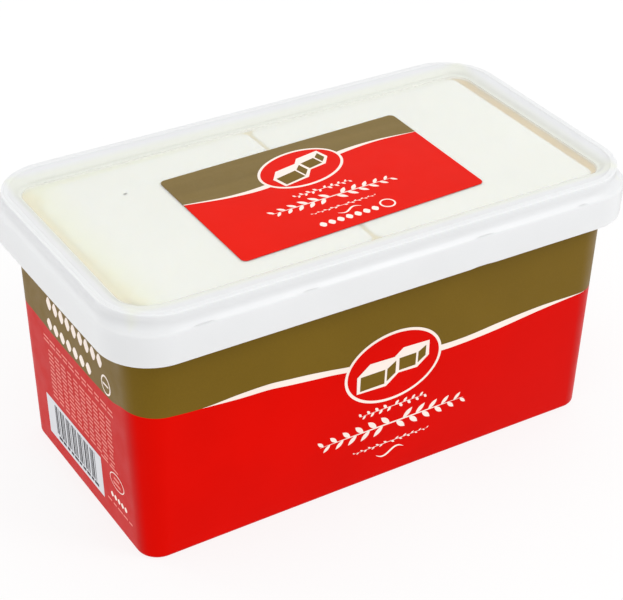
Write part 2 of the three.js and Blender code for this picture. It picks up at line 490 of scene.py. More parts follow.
def socket_named(sockets, key):
    """A socket by its place or, among those in use, by its name."""
    if isinstance(key, int):
        return sockets[key]
    return next(socket for socket in sockets if socket.name == key and socket.enabled)


def feed(tree, node, inputs):
    """Gives a node's inputs their values, or links them to sockets."""
    for key, value in inputs.items():
        socket = socket_named(node.inputs, key)
        if isinstance(value, bpy.types.NodeSocket):
            tree.links.new(value, socket)
        else:
            socket.default_value = value


def add_node(tree, kind, inputs=None, **settings):
    """A node of a kind, its settings set and its inputs given values or linked to sockets."""
    node = tree.nodes.new(kind)
    for key, value in settings.items():
        setattr(node, key, value)
    feed(tree, node, inputs or {})
    return node


def calculate(tree, operation, *values):
    """The result of a Math node."""
    return add_node(tree, "ShaderNodeMath", dict(enumerate(values)), operation=operation).outputs[0]


def vector_of(tree, x, y, z):
    return add_node(tree, "ShaderNodeCombineXYZ", {"X": x, "Y": y, "Z": z}).outputs[0]


def axes_of(tree, vector):
    return add_node(tree, "ShaderNodeSeparateXYZ", {0: vector}).outputs


def own(tree, kind):
    """Each point's own Position, Index or Normal."""
    return tree.nodes.new("GeometryNodeInput" + kind).outputs[0]


def new_tree(name, inputs):
    """An empty tree with a geometry in and out, and its named inputs."""
    tree = bpy.data.node_groups.new(name, "GeometryNodeTree")
    tree.interface.new_socket("Geometry", in_out="INPUT", socket_type="NodeSocketGeometry")
    for label, kind in inputs:
        tree.interface.new_socket(label, in_out="INPUT", socket_type="NodeSocket" + kind)
    tree.interface.new_socket("Geometry", in_out="OUTPUT", socket_type="NodeSocketGeometry")
    return tree, tree.nodes.new("NodeGroupInput").outputs


def end_tree(tree, geometry, material, smooth=True):
    """Realizes instances, sets shading and material, and ends the tree."""
    real = add_node(tree, "GeometryNodeRealizeInstances", {"Geometry": geometry}).outputs[0]
    shaded = add_node(
        tree, "GeometryNodeSetShadeSmooth", {"Geometry": real, "Shade Smooth": smooth}).outputs[0]
    done = add_node(tree, "GeometryNodeSetMaterial", {"Geometry": shaded, "Material": material}).outputs[0]
    add_node(tree, "NodeGroupOutput", {"Geometry": done})


def plain_mesh(made):
    """Replaces an object's mesh by what its modifiers make of it, and removes them."""
    evaluated = made.evaluated_get(bpy.context.evaluated_depsgraph_get())
    mesh = bpy.data.meshes.new_from_object(evaluated)
    made.modifiers.clear()
    mesh.name = made.name
    made.data = mesh
    return made


def grown(name, tree, values, start_mesh=None, even_normals=False):
    """The object that a tree makes from a mesh, or from a single point, as plain mesh."""
    made = object_from(name, start_mesh or mesh_from("Start", [(0, 0, 0)], []))
    tree = bpy.data.node_groups[tree]
    modifier = made.modifiers.new("Form", "NODES")
    modifier.node_group = tree
    for item in tree.interface.items_tree:
        if item.in_out == "INPUT" and item.name in values:
            modifier[item.identifier] = values[item.name]
    if even_normals:
        made.modifiers.new("Normals", "WEIGHTED_NORMAL").keep_sharp = False
    return plain_mesh(made)


def loft_tree():
    """A skin through rounded rectangles: each point of a profile carries one's insets, radius and height."""
    tree, given = new_tree("Rounded loft", (
        ("Half Length", "Float"), ("Half Width", "Float"), ("Corner Steps", "Int"), ("Side Steps", "Int"),
        ("Material", "Material")))
    corner_steps, side_steps = given["Corner Steps"], given["Side Steps"]
    each = calculate(tree, "ADD", corner_steps, side_steps)
    around = calculate(tree, "ADD", calculate(tree, "MULTIPLY", each, 4.0), 1.0)
    levels = add_node(tree, "GeometryNodeAttributeDomainSize", {"Geometry": given["Geometry"]}).outputs[0]
    grid = add_node(tree, "GeometryNodeMeshGrid", {
        "Size X": 1.0, "Size Y": 1.0, "Vertices X": levels, "Vertices Y": around}).outputs[0]
    index = own(tree, "Index")
    level = calculate(tree, "FLOOR", calculate(tree, "DIVIDE", calculate(tree, "ADD", index, 0.5), around))
    step = calculate(tree, "SUBTRACT", index, calculate(tree, "MULTIPLY", level, around))

    def sampled(value, kind="FLOAT"):
        return add_node(tree, "GeometryNodeSampleIndex", {
            "Geometry": given["Geometry"], "Value": value, "Index": level}, data_type=kind).outputs[0]

    def attribute(label):
        return sampled(
            add_node(tree, "GeometryNodeInputNamedAttribute", {"Name": label}, data_type="FLOAT").outputs[0])

    place = sampled(own(tree, "Position"), "FLOAT_VECTOR")
    height = axes_of(tree, place)["Z"]
    radius = attribute("radius")
    corner = calculate(
        tree, "FLOOR", calculate(tree, "DIVIDE", calculate(tree, "ADD", step, 0.5), each))
    within = calculate(tree, "SUBTRACT", step, calculate(tree, "MULTIPLY", corner, each))
    turn = calculate(tree, "MINIMUM", calculate(tree, "DIVIDE", within, corner_steps), 1.0)
    past = calculate(tree, "MAXIMUM", calculate(tree, "SUBTRACT", within, corner_steps), 0.0)
    run = calculate(tree, "DIVIDE", past, side_steps)
    angle = calculate(tree, "MULTIPLY", calculate(tree, "ADD", corner, turn), QUARTER)

    def side(wave, half, inset):
        """One coordinate of the outline: the corner's centre, moved along the straight run, and its arc."""
        def sign(shift):
            middle = calculate(tree, "MULTIPLY", calculate(tree, "ADD", corner, shift), QUARTER)
            return calculate(tree, "SIGN", calculate(tree, wave, middle))
        here, following = sign(0.5), sign(1.5)
        between = calculate(
            tree, "MULTIPLY_ADD", calculate(tree, "SUBTRACT", following, here), run, here)
        reach = calculate(tree, "SUBTRACT", calculate(tree, "SUBTRACT", half, inset), radius)
        arc = calculate(tree, "MULTIPLY", radius, calculate(tree, wave, angle))
        return calculate(tree, "MULTIPLY_ADD", between, reach, arc)

    moved = add_node(tree, "GeometryNodeSetPosition", {
        "Geometry": grid,
        "Position": vector_of(
            tree, side("COSINE", given["Half Length"], attribute("inset_end")),
            side("SINE", given["Half Width"], attribute("inset_side")), height)}).outputs[0]
    merged = add_node(tree, "GeometryNodeMergeByDistance", {"Geometry": moved, "Distance": JOIN}).outputs[0]
    turned = add_node(tree, "GeometryNodeFlipFaces", {"Mesh": merged}).outputs[0]
    end_tree(tree, turned, given["Material"])
    return tree


def profile_mesh(rings):
    """The profile that the loft tree reads, from (end inset, side inset, radius, height) for each ring."""
    mesh = mesh_from("Profile", [(0, 0, ring[3]) for ring in rings], [])
    for place, label in enumerate(("inset_end", "inset_side", "radius")):
        values = mesh.attributes.new(label, "FLOAT", "POINT")
        values.data.foreach_set("value", [ring[place] for ring in rings])
    return mesh


def eased(rings):
    """Rounds a closed profile's corners: each ring is (end inset, side inset, radius, height, rounding)."""
    steps = 4
    largest = 0.48  # share of an edge that one rounding may take
    made = []
    for i, ring in enumerate(rings):
        here = Vector(ring[:4])
        ends = []
        for other in (rings[i - 1], rings[(i + 1) % len(rings)]):
            away = Vector(other[:4]) - here
            reach = (away.x ** 2 + away.w ** 2) ** 0.5
            ends.append(here + away * min(ring[4] / reach, largest))
        for step in range(steps + 1):
            t = step / steps
            made.append(tuple(ends[0] * (1 - t) ** 2 + here * 2 * t * (1 - t) + ends[1] * t ** 2))
    return made + made[:1]


def loft(name, rings, finish, corner_steps=10, side_steps=12):
    """A piece lofted through rounded rectangles, inset from the outline of the lid."""
    return grown(name, "Rounded loft", {
        "Half Length": HALF_LENGTH, "Half Width": HALF_WIDTH, "Corner Steps": corner_steps,
        "Side Steps": side_steps, "Material": finish}, profile_mesh(rings), even_normals=True)


def block_tree():
    """A block cut from the mould: a grid box with rounded edges and a slightly uneven skin."""
    tree, given = new_tree("Cheese block", (
        ("Low", "Vector"), ("High", "Vector"), ("Spacing", "Float"), ("Edge", "Float"), ("Corner", "Float"),
        ("Worn Corner", "Float"), ("Relief", "Float"), ("Seed", "Float"), ("Material", "Material")))

    def combine(operation, *values):
        return add_node(tree, "ShaderNodeVectorMath", dict(enumerate(values)), operation=operation).outputs[0]

    size = combine("SUBTRACT", given["High"], given["Low"])
    middle = combine("MULTIPLY_ADD", size, (0.5, 0.5, 0.5), given["Low"])
    numbers = [calculate(tree, "CEIL", calculate(tree, "DIVIDE", length, given["Spacing"]))
               for length in axes_of(tree, size)]
    cube = add_node(tree, "GeometryNodeMeshCube", {
        "Size": (1.0, 1.0, 1.0), "Vertices X": numbers[0], "Vertices Y": numbers[1],
        "Vertices Z": numbers[2]}).outputs[0]
    position = own(tree, "Position")
    crowded = combine("MULTIPLY", combine("SINE", combine("MULTIPLY", position, (math.pi,) * 3)), (0.5,) * 3)
    placed = combine("MULTIPLY_ADD", crowded, size, middle)
    edge = vector_of(tree, given["Edge"], given["Edge"], given["Edge"])
    inner = combine("MAXIMUM", combine("ADD", given["Low"], edge),
                    combine("MINIMUM", combine("SUBTRACT", given["High"], edge), placed))
    direction = combine("NORMALIZE", combine("SUBTRACT", placed, inner))
    rounded = combine("MULTIPLY_ADD", direction, edge, inner)
    squared = add_node(tree, "GeometryNodeSetPosition", {"Geometry": cube, "Position": rounded}).outputs[0]
    # The upright corners: the square beyond each corner's centre is drawn in to a quarter disc
    from_middle = axes_of(tree, combine("SUBTRACT", position, middle))
    left_end = calculate(tree, "LESS_THAN", from_middle["X"], 0.0)
    radius = calculate(tree, "MULTIPLY_ADD", left_end, calculate(
        tree, "SUBTRACT", given["Worn Corner"], given["Corner"]), given["Corner"])
    reach = vector_of(tree, radius, radius, 0.0)
    centre = combine("MAXIMUM", combine("ADD", given["Low"], reach),
                     combine("MINIMUM", combine("SUBTRACT", given["High"], reach), position))
    beyond = combine("SUBTRACT", position, centre)
    apart = axes_of(tree, combine("ABSOLUTE", beyond))
    larger = calculate(tree, "MAXIMUM", apart["X"], apart["Y"])
    disc = combine("MULTIPLY", combine("NORMALIZE", beyond), vector_of(tree, larger, larger, larger))
    shaped = add_node(tree, "GeometryNodeSetPosition", {
        "Geometry": squared, "Position": combine("ADD", centre, disc)}).outputs[0]
    noise = add_node(tree, "ShaderNodeTexNoise", {
        "W": given["Seed"], "Scale": 70.0, "Detail": 3.0, "Roughness": 0.55}, noise_dimensions="4D")
    swell = calculate(tree, "MULTIPLY", calculate(tree, "SUBTRACT", noise.outputs[0], 0.5), given["Relief"])
    offset = combine("MULTIPLY", own(tree, "Normal"), vector_of(tree, swell, swell, swell))
    uneven = add_node(tree, "GeometryNodeSetPosition", {"Geometry": shaped, "Offset": offset}).outputs[0]
    end_tree(tree, uneven, given["Material"])
    return tree


def leaf_tree():
    """A row of pointed leaves that spread from the row's middle to both ends."""
    tree, given = new_tree("Leaf row", (
        ("Count", "Int"), ("Spacing", "Float"), ("Leaf Length", "Float"), ("Leaf Width", "Float"),
        ("Anchor", "Float"), ("Lean", "Float"), ("Taper", "Float"), ("Thickness", "Float"),
        ("Material", "Material")))
    half = calculate(tree, "MULTIPLY", calculate(tree, "SUBTRACT", given["Count"], 1.0), given["Spacing"])
    half = calculate(tree, "MULTIPLY", half, 0.5)
    line = add_node(tree, "GeometryNodeMeshLine", {
        "Count": given["Count"], "Start Location": vector_of(
            tree, calculate(tree, "MULTIPLY", half, -1.0), 0.0, 0.0),
        "Offset": vector_of(tree, given["Spacing"], 0.0, 0.0)}).outputs[0]
    disc = add_node(tree, "GeometryNodeMeshCylinder", {
        "Vertices": 20, "Radius": 1.0, "Depth": 1.0}).outputs[0]
    along, across, up = axes_of(tree, own(tree, "Position"))
    pointed = calculate(tree, "MULTIPLY", across, calculate(tree, "ABSOLUTE", across))
    leaf = add_node(tree, "GeometryNodeSetPosition", {
        "Geometry": disc, "Position": vector_of(
            tree, calculate(tree, "MULTIPLY_ADD", along, 0.5, given["Anchor"]),
            calculate(tree, "MULTIPLY", pointed, 0.5), up)}).outputs[0]
    # Leaves left of the middle turn round, and every second one leans the other way
    nearly_zero = 1e-6
    odd = calculate(tree, "MODULO", own(tree, "Index"), 2.0)
    above = calculate(tree, "MULTIPLY_ADD", odd, -2.0, 1.0)
    share = calculate(tree, "DIVIDE", along, calculate(tree, "MAXIMUM", half, nearly_zero))
    leftward = calculate(tree, "LESS_THAN", along, -nearly_zero)
    lean = calculate(tree, "MULTIPLY", above, given["Lean"])
    turned = calculate(tree, "MULTIPLY", calculate(tree, "SUBTRACT", math.pi, calculate(
        tree, "MULTIPLY", lean, 2.0)), leftward)
    turn = calculate(tree, "ADD", lean, turned)
    fade = calculate(tree, "MULTIPLY", calculate(tree, "POWER", calculate(tree, "ABSOLUTE", share), 2.0),
                     given["Taper"])
    keep = calculate(tree, "SUBTRACT", 1.0, fade)
    scale = vector_of(tree, calculate(tree, "MULTIPLY", given["Leaf Length"], keep),
                      calculate(tree, "MULTIPLY", given["Leaf Width"], keep), given["Thickness"])
    placed = add_node(tree, "GeometryNodeInstanceOnPoints", {
        "Points": line, "Instance": leaf, "Rotation": vector_of(tree, 0.0, 0.0, turn),
        "Scale": scale}).outputs[0]
    end_tree(tree, placed, given["Material"], smooth=False)
    return tree


def bar_tree():
    """Rows of plain bars of uneven length, as a block of marks."""
    tree, given = new_tree("Bar rows", (
        ("Columns", "Int"), ("Rows", "Int"), ("Pitch X", "Float"), ("Pitch Y", "Float"),
        ("Bar Height", "Float"), ("Shortest", "Float"), ("Longest", "Float"), ("Seed", "Int"),
        ("Thickness", "Float"), ("Material", "Material")))
    wide, tall = (
        calculate(tree, "MULTIPLY", calculate(tree, "SUBTRACT", given[count], 1.0), given[pitch])
        for count, pitch in (("Columns", "Pitch X"), ("Rows", "Pitch Y")))
    grid = add_node(tree, "GeometryNodeMeshGrid", {
        "Size X": wide, "Size Y": tall, "Vertices X": given["Columns"],
        "Vertices Y": given["Rows"]}).outputs[0]
    points = add_node(tree, "GeometryNodeMeshToPoints", {"Mesh": grid}).outputs[0]
    bar = add_node(tree, "GeometryNodeMeshCube", {"Size": (1.0, 1.0, 1.0)}).outputs[0]
    length = add_node(tree, "FunctionNodeRandomValue", {
        "Min": given["Shortest"], "Max": given["Longest"], "Seed": given["Seed"]},
        data_type="FLOAT").outputs[1]
    scale = vector_of(tree, calculate(tree, "MULTIPLY", length, given["Pitch X"]), given["Bar Height"],
                      given["Thickness"])
    placed = add_node(tree, "GeometryNodeInstanceOnPoints", {
        "Points": points, "Instance": bar, "Scale": scale}).outputs[0]
    end_tree(tree, placed, given["Material"], smooth=False)
    return tree


def drawn(tree, values):
    """A flat mesh that a tree makes, for a print to place."""
    made = grown("Drawing", tree, values)
    mesh = made.data
    bpy.data.objects.remove(made)
    return mesh


def leaf_row(drawing, cream, x, y, count, spacing, length, width, anchor=0.0, lean=0.0, taper=0.0):
    """A row of leaves, or of lozenges when they have no anchor, with its middle at x, y."""
    drawing.marks("cream", drawn("Leaf row", {
        "Count": count, "Spacing": spacing, "Leaf Length": length, "Leaf Width": width, "Anchor": anchor,
        "Lean": math.radians(lean), "Taper": taper, "Thickness": drawing.step, "Material": cream}), x, y, 0.5)


# Materials


def new_material(name):
    """A material with a Principled shader, its tree and the object's own coordinates."""
    made = bpy.data.materials.new(name)
    made.use_nodes = True
    tree = made.node_tree
    shader = tree.nodes["Principled BSDF"]
    place = tree.nodes.new("ShaderNodeTexCoord").outputs["Object"]
    return made, tree, shader, place


def grain(tree, place, scale, detail, stretch=(1, 1, 1)):
    """Noise at a scale, stretched along the axes."""
    mapped = add_node(tree, "ShaderNodeMapping", {"Vector": place, "Scale": stretch}).outputs[0]
    return add_node(tree, "ShaderNodeTexNoise", {
        "Vector": mapped, "Scale": scale, "Detail": detail}).outputs[0]


def ranged(tree, value, low, high, to_low, to_high):
    return add_node(tree, "ShaderNodeMapRange", {
        "Value": value, "From Min": low, "From Max": high, "To Min": to_low, "To Max": to_high}).outputs[0]


def cloudy(tree, place, scale, detail, low, high, stretch=(1, 1, 1)):
    """Noise at a scale, spread from low to high."""
    return ranged(tree, grain(tree, place, scale, detail, stretch), NOISE_LOW, NOISE_HIGH, low, high)


def mixed(tree, share, first, second):
    """Two colours mixed by a share."""
    node = add_node(tree, "ShaderNodeMix", data_type="RGBA")
    for place, value in ((0, share), (6, first), (7, second)):
        if isinstance(value, bpy.types.NodeSocket):
            tree.links.new(value, node.inputs[place])
        else:
            node.inputs[place].default_value = value if place == 0 else (*value, 1)
    return node.outputs[2]


def scaled(tint, factor):
    return tuple(min(channel * factor, 1.0) for channel in tint[:3])


def mottled(tree, cloud, tint, spread):
    """A tint that wanders from a little darker to a little lighter."""
    return mixed(tree, cloud, scaled(tint, 1 - spread), scaled(tint, 1 + spread))


def bump(tree, shader, height, distance):
    made = add_node(tree, "ShaderNodeBump", {"Height": height, "Distance": distance})
    feed(tree, shader, {"Normal": made.outputs[0]})


def printed_ink(name, tint, spread, speckle=0.0, shine=(0.015, 0.058), roughness=0.34,
                streaks=(1, 1, 1), dim=0.0):
    """Printed plastic: mottled, finely speckled, glossier at a glancing view, and a little darker there by
    painted shade.
    """
    made, tree, shader, place = new_material(name)
    base = mottled(tree, cloudy(tree, place, 45, 4, 0, 1, streaks), tint, spread)
    if speckle:
        fine = ranged(tree, grain(tree, place, 2600, 2), 0.35, 0.65, 0, speckle)
        base = mixed(tree, fine, base, scaled(tint, 1.7))
    facing = add_node(tree, "ShaderNodeLayerWeight", {"Blend": 0.5}).outputs["Facing"]
    # Painted shade: the base colour is mixed towards black, up to the given share, at a glancing view
    if dim:
        base = mixed(tree, ranged(tree, facing, *GLANCING, 0, dim), base, (0, 0, 0))
    feed(tree, shader, {
        "Base Color": base, "Roughness": cloudy(tree, place, 160, 3, roughness - 0.05, roughness + 0.07),
        "Specular IOR Level": ranged(tree, facing, *GLANCING, *shine)})
    bump(tree, shader, grain(tree, place, 900, 2), 0.01 * MM)
    return made


def milky_plastic(name, tint, glow=None):
    """Soft milky polypropylene with a faint moulded grain and painted shade edge-on; glow is painted light
    from the cheese inside the stacking rim.
    """
    made, tree, shader, place = new_material(name)
    base = mottled(tree, cloudy(tree, place, 38, 4, 0, 1), tint, 0.015)
    if glow:
        # Painted glow: inside the stacking rim the colour is tinted warm, as if lit through by the cheese
        axes = axes_of(tree, place)
        shares = [ranged(tree, calculate(tree, "ABSOLUTE", axes[axis]), edge - 2.5 * MM, edge, 1, 0)
                  for axis, edge in (("X", HALF_LENGTH - 4.5 * MM), ("Y", HALF_WIDTH - 5 * MM))]
        base = mixed(tree, calculate(tree, "MINIMUM", *shares), base, glow[:])
    # Painted shade: the colour grows up to a fifth darker where the surface is seen edge-on
    facing = add_node(tree, "ShaderNodeLayerWeight", {"Blend": 0.5}).outputs["Facing"]
    feed(tree, shader, {
        "Base Color": mixed(tree, ranged(tree, facing, 0.66, 1, 0, 1), base, scaled(tint, 0.8)),
        "Roughness": cloudy(tree, place, 150, 1, 0.3, 0.34), "Specular IOR Level": 0.45,
        "Subsurface Weight": 0.35, "Subsurface Radius": (1.0, 0.98, 0.95), "Subsurface Scale": 2.2 * MM})
    bump(tree, shader, grain(tree, place, 260, 0), 0.012 * MM)
    return made


def clear_panel(name, haze):
    """Clear polypropylene: mostly see-through, with a faint white haze and a soft gloss."""
    made, tree, shader, place = new_material(name)
    feed(tree, shader, {"Base Color": (0.94, 0.94, 0.91, 1), "Roughness": 0.22, "Specular IOR Level": 0.4})
    clear = add_node(tree, "ShaderNodeBsdfTransparent").outputs[0]
    cloud = cloudy(tree, place, 60, 4, haze * 0.7, haze * 1.4)
    edge = add_node(tree, "ShaderNodeLayerWeight", {"Blend": 0.18}).outputs["Fresnel"]
    share = calculate(tree, "ADD", cloud, calculate(tree, "MULTIPLY", edge, 0.35))
    mix = add_node(tree, "ShaderNodeMixShader", {0: share, 1: clear, 2: shader.outputs[0]})
    output = next(node for node in tree.nodes if node.type == "OUTPUT_MATERIAL")
    feed(tree, output, {"Surface": mix.outputs[0]})
    return made


def cheese_material(name, look):
    """Moist white cheese with the fine print of its draining cloth, small pits and a stained left edge."""
    made, tree, shader, place = new_material(name)
    base = mottled(tree, cloudy(tree, place, 28, 4, 0, 1), look.white, 0.015)
    wander = cloudy(tree, place, 55, 3, -2.2 * MM, 2.2 * MM)
    across = calculate(tree, "ADD", axes_of(tree, place)["X"], wander)
    # A broad pale wash at the left end, and a narrow yellower stain along its edge
    for start, end, strength, tint in ((0, 12, 1, look.pale_brine), (-0.5, 4, 0.9, look.yellow)):
        stain = ranged(tree, across, LEFT_LOW.x + start * MM, LEFT_LOW.x + end * MM, strength, 0)
        base = mixed(tree, calculate(tree, "POWER", stain, 1.3), base, tint[:])
    feed(tree, shader, {
        "Base Color": base, "Roughness": cloudy(tree, place, 300, 3, 0.42, 0.62), "Specular IOR Level": 0.35,
        "Subsurface Weight": 0.3, "Subsurface Radius": (1.0, 0.85, 0.6), "Subsurface Scale": 3 * MM})
    threads = [add_node(tree, "ShaderNodeTexWave", {
        "Vector": place, "Scale": 420.0, "Distortion": 1.4, "Detail": 2.0, "Detail Scale": 1.5},
        bands_direction=bands).outputs["Fac"] for bands in ("X", "Y")]
    weave = calculate(tree, "MULTIPLY", *threads)
    pits = ranged(tree, grain(tree, place, 620, 2), 0.28, 0.4, -1.2, 0)
    relief = calculate(tree, "ADD", calculate(tree, "MULTIPLY", weave, 0.5), pits)
    bump(tree, shader, relief, 0.05 * MM)
    return made


def brine_material(name, look):
    """Cloudy brine: a smooth, wet surface, tan with painted shade at the right end and in the seam, and paler
    elsewhere.
    """
    made, tree, shader, place = new_material(name)
    cloud = cloudy(tree, place, 90, 4, 0, 1)
    tan_and_shade = mottled(tree, cloud, look.brine, 0.06)
    pale = mottled(tree, cloud, look.pale_brine, 0.02)
    across = axes_of(tree, place)["X"]
    seam = (LEFT_HIGH.x + RIGHT_LOW.x) / 2
    from_seam = calculate(tree, "ABSOLUTE", calculate(tree, "SUBTRACT", across, seam))
    # The brine's tan with painted shade: laid darker in the narrow gaps at the right end and in the seam,
    # where shade falls
    share = calculate(tree, "MAXIMUM", ranged(tree, across, RIGHT_HIGH.x - 6 * MM, RIGHT_HIGH.x, 0, 1),
                      ranged(tree, from_seam, 2 * MM, 8 * MM, 0.55, 0))
    pale = mixed(tree, ranged(tree, across, LEFT_LOW.x, LEFT_LOW.x + 3 * MM, 1, 0), pale, look.yellow[:])
    feed(tree, shader, {
        "Base Color": mixed(tree, share, pale, tan_and_shade), "Roughness": 0.14, "Subsurface Weight": 0.3,
        "Subsurface Radius": (1.0, 0.8, 0.5), "Subsurface Scale": 2 * MM})
    bump(tree, shader, grain(tree, place, 130, 2), 0.04 * MM)
    return made


def material(name, make, *values, **settings):
    """A material by name, made once."""
    return bpy.data.materials.get(name) or make(name, *values, **settings)


def ink(name):
    """The material of one printed colour."""
    tint = getattr(sizes("print"), name)
    if name in ("gold", "label_gold"):
        spread, streaks = (0.04, (1, 1, 1)) if name == "gold" else (0.08, (0.25, 4, 1))
        return material("Ink " + name, printed_ink, tint, spread, speckle=0.1, shine=(0.05, 0.14),
                        roughness=0.42, streaks=streaks)
    shine = (0.02, 0.045) if name == "label_red" else (0.015, 0.058)
    # The red gets painted shade, up to a fifth darker at a glancing view, which darkens the left end as the
    # camera sees it
    return material("Ink " + name, printed_ink, tint, 0.03, shine=shine, dim=0.2 if name == "red" else 0.0)


# Pieces


class CHEESETUB_OT_tub(bpy.types.Operator):
    """Makes the printed tub, its wall split along the line where gold meets red"""
    bl_idname = "cheesetub.tub"
    bl_label = "Printed tub"

    def execute(self, context):
        tub = sizes("tub")
        samples = list(plan_samples(12, 60))
        middle = wall_plan(MEASURED)
        flats = (middle[0] - middle[2], middle[1] - middle[2])
        arc = middle[2] * QUARTER

        def distance(sample):
            corner, turn, run = sample
            face = (corner + 2) % 4
            return perimeter((corner + 1) % 4, flats[(corner + 1) % 2], middle) + arc * turn + (
                2 * flats[face % 2] * run)

        total = 4 * (flats[0] + flats[1] + arc)
        line = [field_line(distance(sample) % total, middle) for sample in samples]
        rings, fields = [], []

        def add_ring(inset, radius, height, field):
            half_x, half_y = HALF_LENGTH - inset, HALF_WIDTH - inset
            rings.append([plan_point(half_x, half_y, radius, sample, height) for sample in samples])
            fields.append(field)

        def add_wall(heights, field):
            rings.append([plan_point(*wall_plan(z), s, z) for s, z in zip(samples, heights)])
            fields.append(field)

        white, red, gold = range(3)
        edge_steps = 5
        add_ring(HALF_WIDTH, 0, 0, red)
        for step in range(edge_steps + 1):
            angle = QUARTER * step / edge_steps
            back = tub.base_edge * (1 - math.sin(angle))
            height = tub.base_edge * (1 - math.cos(angle))
            half_x, _, radius = wall_plan(height)
            add_ring(HALF_LENGTH - half_x + back, radius - back * 0.6, height, red)
        bands = 8
        top = tub.wall_top - tub.curtain
        for step in range(1, bands + 1):
            add_wall([lerp(tub.base_edge, z, step / bands) for z in line], gold if step == bands else red)
        for step in range(1, bands + 1):
            add_wall([lerp(z, top, step / bands) for z in line], white if step == bands else gold)
        inner_inset, inner_radius = tub.wall_inset + tub.wall, tub.wall_radius - tub.wall
        floor_inset, floor_radius = tub.base_inset + tub.wall, tub.base_radius - tub.wall
        within, within_radius = tub.curtain_inset + tub.curtain, tub.curtain_radius - tub.curtain
        # Under the flange, round the curtain, over the flange and down the inside to the floor
        for inset, radius, height in (
                (tub.flange_inset + tub.curtain, tub.flange_radius - tub.curtain, tub.wall_top),
                (within, within_radius, tub.curtain_top), (within, within_radius, tub.curtain_bottom),
                (tub.curtain_inset, tub.curtain_radius, tub.curtain_bottom),
                (tub.curtain_inset, tub.curtain_radius, tub.curtain_top),
                (tub.flange_inset, tub.flange_radius, TUB_HIGH.z),
                (inner_inset, inner_radius, TUB_HIGH.z - MM), (inner_inset, inner_radius, tub.wall_top),
                (floor_inset, floor_radius, tub.floor + tub.base_edge),
                (floor_inset + tub.base_edge, floor_radius - tub.base_edge, tub.floor),
                (HALF_WIDTH, 0, tub.floor)):
            add_ring(inset, radius, height, white)

        points = [askew(point) for ring in rings for point in ring]
        mesh = mesh_from("tub_shell", points, loft_faces(len(samples), len(rings)))
        plain = material("White tub plastic", milky_plastic, paint(238, 238, 240))
        for finish in (plain, ink("red"), ink("gold")):
            mesh.materials.append(finish)
        for face in mesh.polygons:
            face.material_index = fields[face.index // len(samples)]
        shaper = bmesh.new()
        shaper.from_mesh(mesh)
        bmesh.ops.remove_doubles(shaper, verts=shaper.verts, dist=JOIN)
        shaper.to_mesh(mesh)
        shaper.free()
        piece = object_from("tub_shell", mesh)
        piece.modifiers.new("Normals", "WEIGHTED_NORMAL").keep_sharp = False
        plain_mesh(piece)
        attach(piece, "root")
        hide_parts("tub")
        return {"FINISHED"}


def badge(drawing, centre, half, ring, turn, red):
    """The oval badge: a pale ring, a red field, and two plain blocks of cheese."""
    drawing.oval("cream", centre, half, 2, turn)
    drawing.oval(red, centre, (half[0] - ring, half[1] - ring), 3, turn)
    unit = half[0]
    # In units of half the badge's length: a block's pale outline, and the line between its two sides
    border, gap = 0.075, 0.045

    def at(x, y):
        return (centre[0] + unit * (x * math.cos(turn) - y * math.sin(turn)),
                centre[1] + unit * (x * math.sin(turn) + y * math.cos(turn)))

    def shape(ink_name, corners, layer):
        drawing.polygon(ink_name, [at(x, y) for x, y in corners], layer)

    def block(x, y, wide, high, dx, dy, layer):
        """One block seen from above its corner: a pale outline and top, and two darker sides."""
        hull = ((x, y), (x + wide, y), (x + wide + dx, y + dy), (x + wide + dx, y + high + dy),
                (x + dx, y + high + dy), (x, y + high))
        middle = Vector((x + (wide + dx) / 2, y + (high + dy) / 2))
        outline = []
        for corner in hull:
            away = Vector(corner) - middle
            outline.append(middle + away * (1 + border / away.length))
        shape("cream", outline, layer)
        shape("gold", ((x, y), (x + wide, y), (x + wide, y + high), (x, y + high)), layer + 1)
        shape("gold", ((x + wide + gap, y + gap * dy / dx), (x + wide + dx, y + dy),
                       (x + wide + dx, y + high + dy - gap), (x + wide + gap, y + high)), layer + 1)

    block(0.02, -0.14, 0.44, 0.26, 0.2, 0.14, 4)
    block(-0.68, -0.32, 0.5, 0.3, 0.22, 0.16, 6)


class CHEESETUB_OT_tub_print(bpy.types.Operator):
    """Lays the tub's stripe, badge, ornament and the left end's marks on its wall"""
    bl_idname = "cheesetub.tub_print"
    bl_label = "Tub print"

    def execute(self, context):
        tub, look = sizes("tub"), sizes("print")
        inks = {name: ink(name) for name in ("cream", "red", "gold", "ink", "faint", "paper")}
        middle = wall_plan(MEASURED)
        for name, face, keys, side in (("front_print", FRONT, STRIPE_LINE, 1),
                                       ("back_print", BACK, mirrored(STRIPE_LINE), -1)):
            drawing = Print(lambda x, y, lift, face=face: wall_point(face, x, y, lift), tub.print_lift)
            start, end = keys[0][0], keys[-1][0]
            steps = 90
            xs = [lerp(start, end, i / steps) * MM for i in range(steps + 1)]
            upper = [(x, field_line(perimeter(face, x, middle), middle) + 0.05 * MM) for x in xs]
            lower = [(x, min(smooth_curve(keys, x / MM) * MM, high[1])) for x, high in zip(xs, upper)]
            drawing.ribbon("cream", lower, upper, 1)
            centre_x = look.badge_centre[0] * side
            badge(drawing, (centre_x, look.badge_centre[1]), look.badge_half, look.ring, 0.0, "red")
            ornament(drawing, inks["cream"], centre_x + 1.3 * MM, 20 * MM, 1.0)
            for piece in drawing.objects(name, inks):
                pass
        drawing = Print(lambda x, y, lift: wall_point(LEFT_END, x, y, lift), tub.print_lift)
        left_marks(drawing, inks)
        for piece in drawing.objects("left_print", inks):
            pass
        return {"FINISHED"}


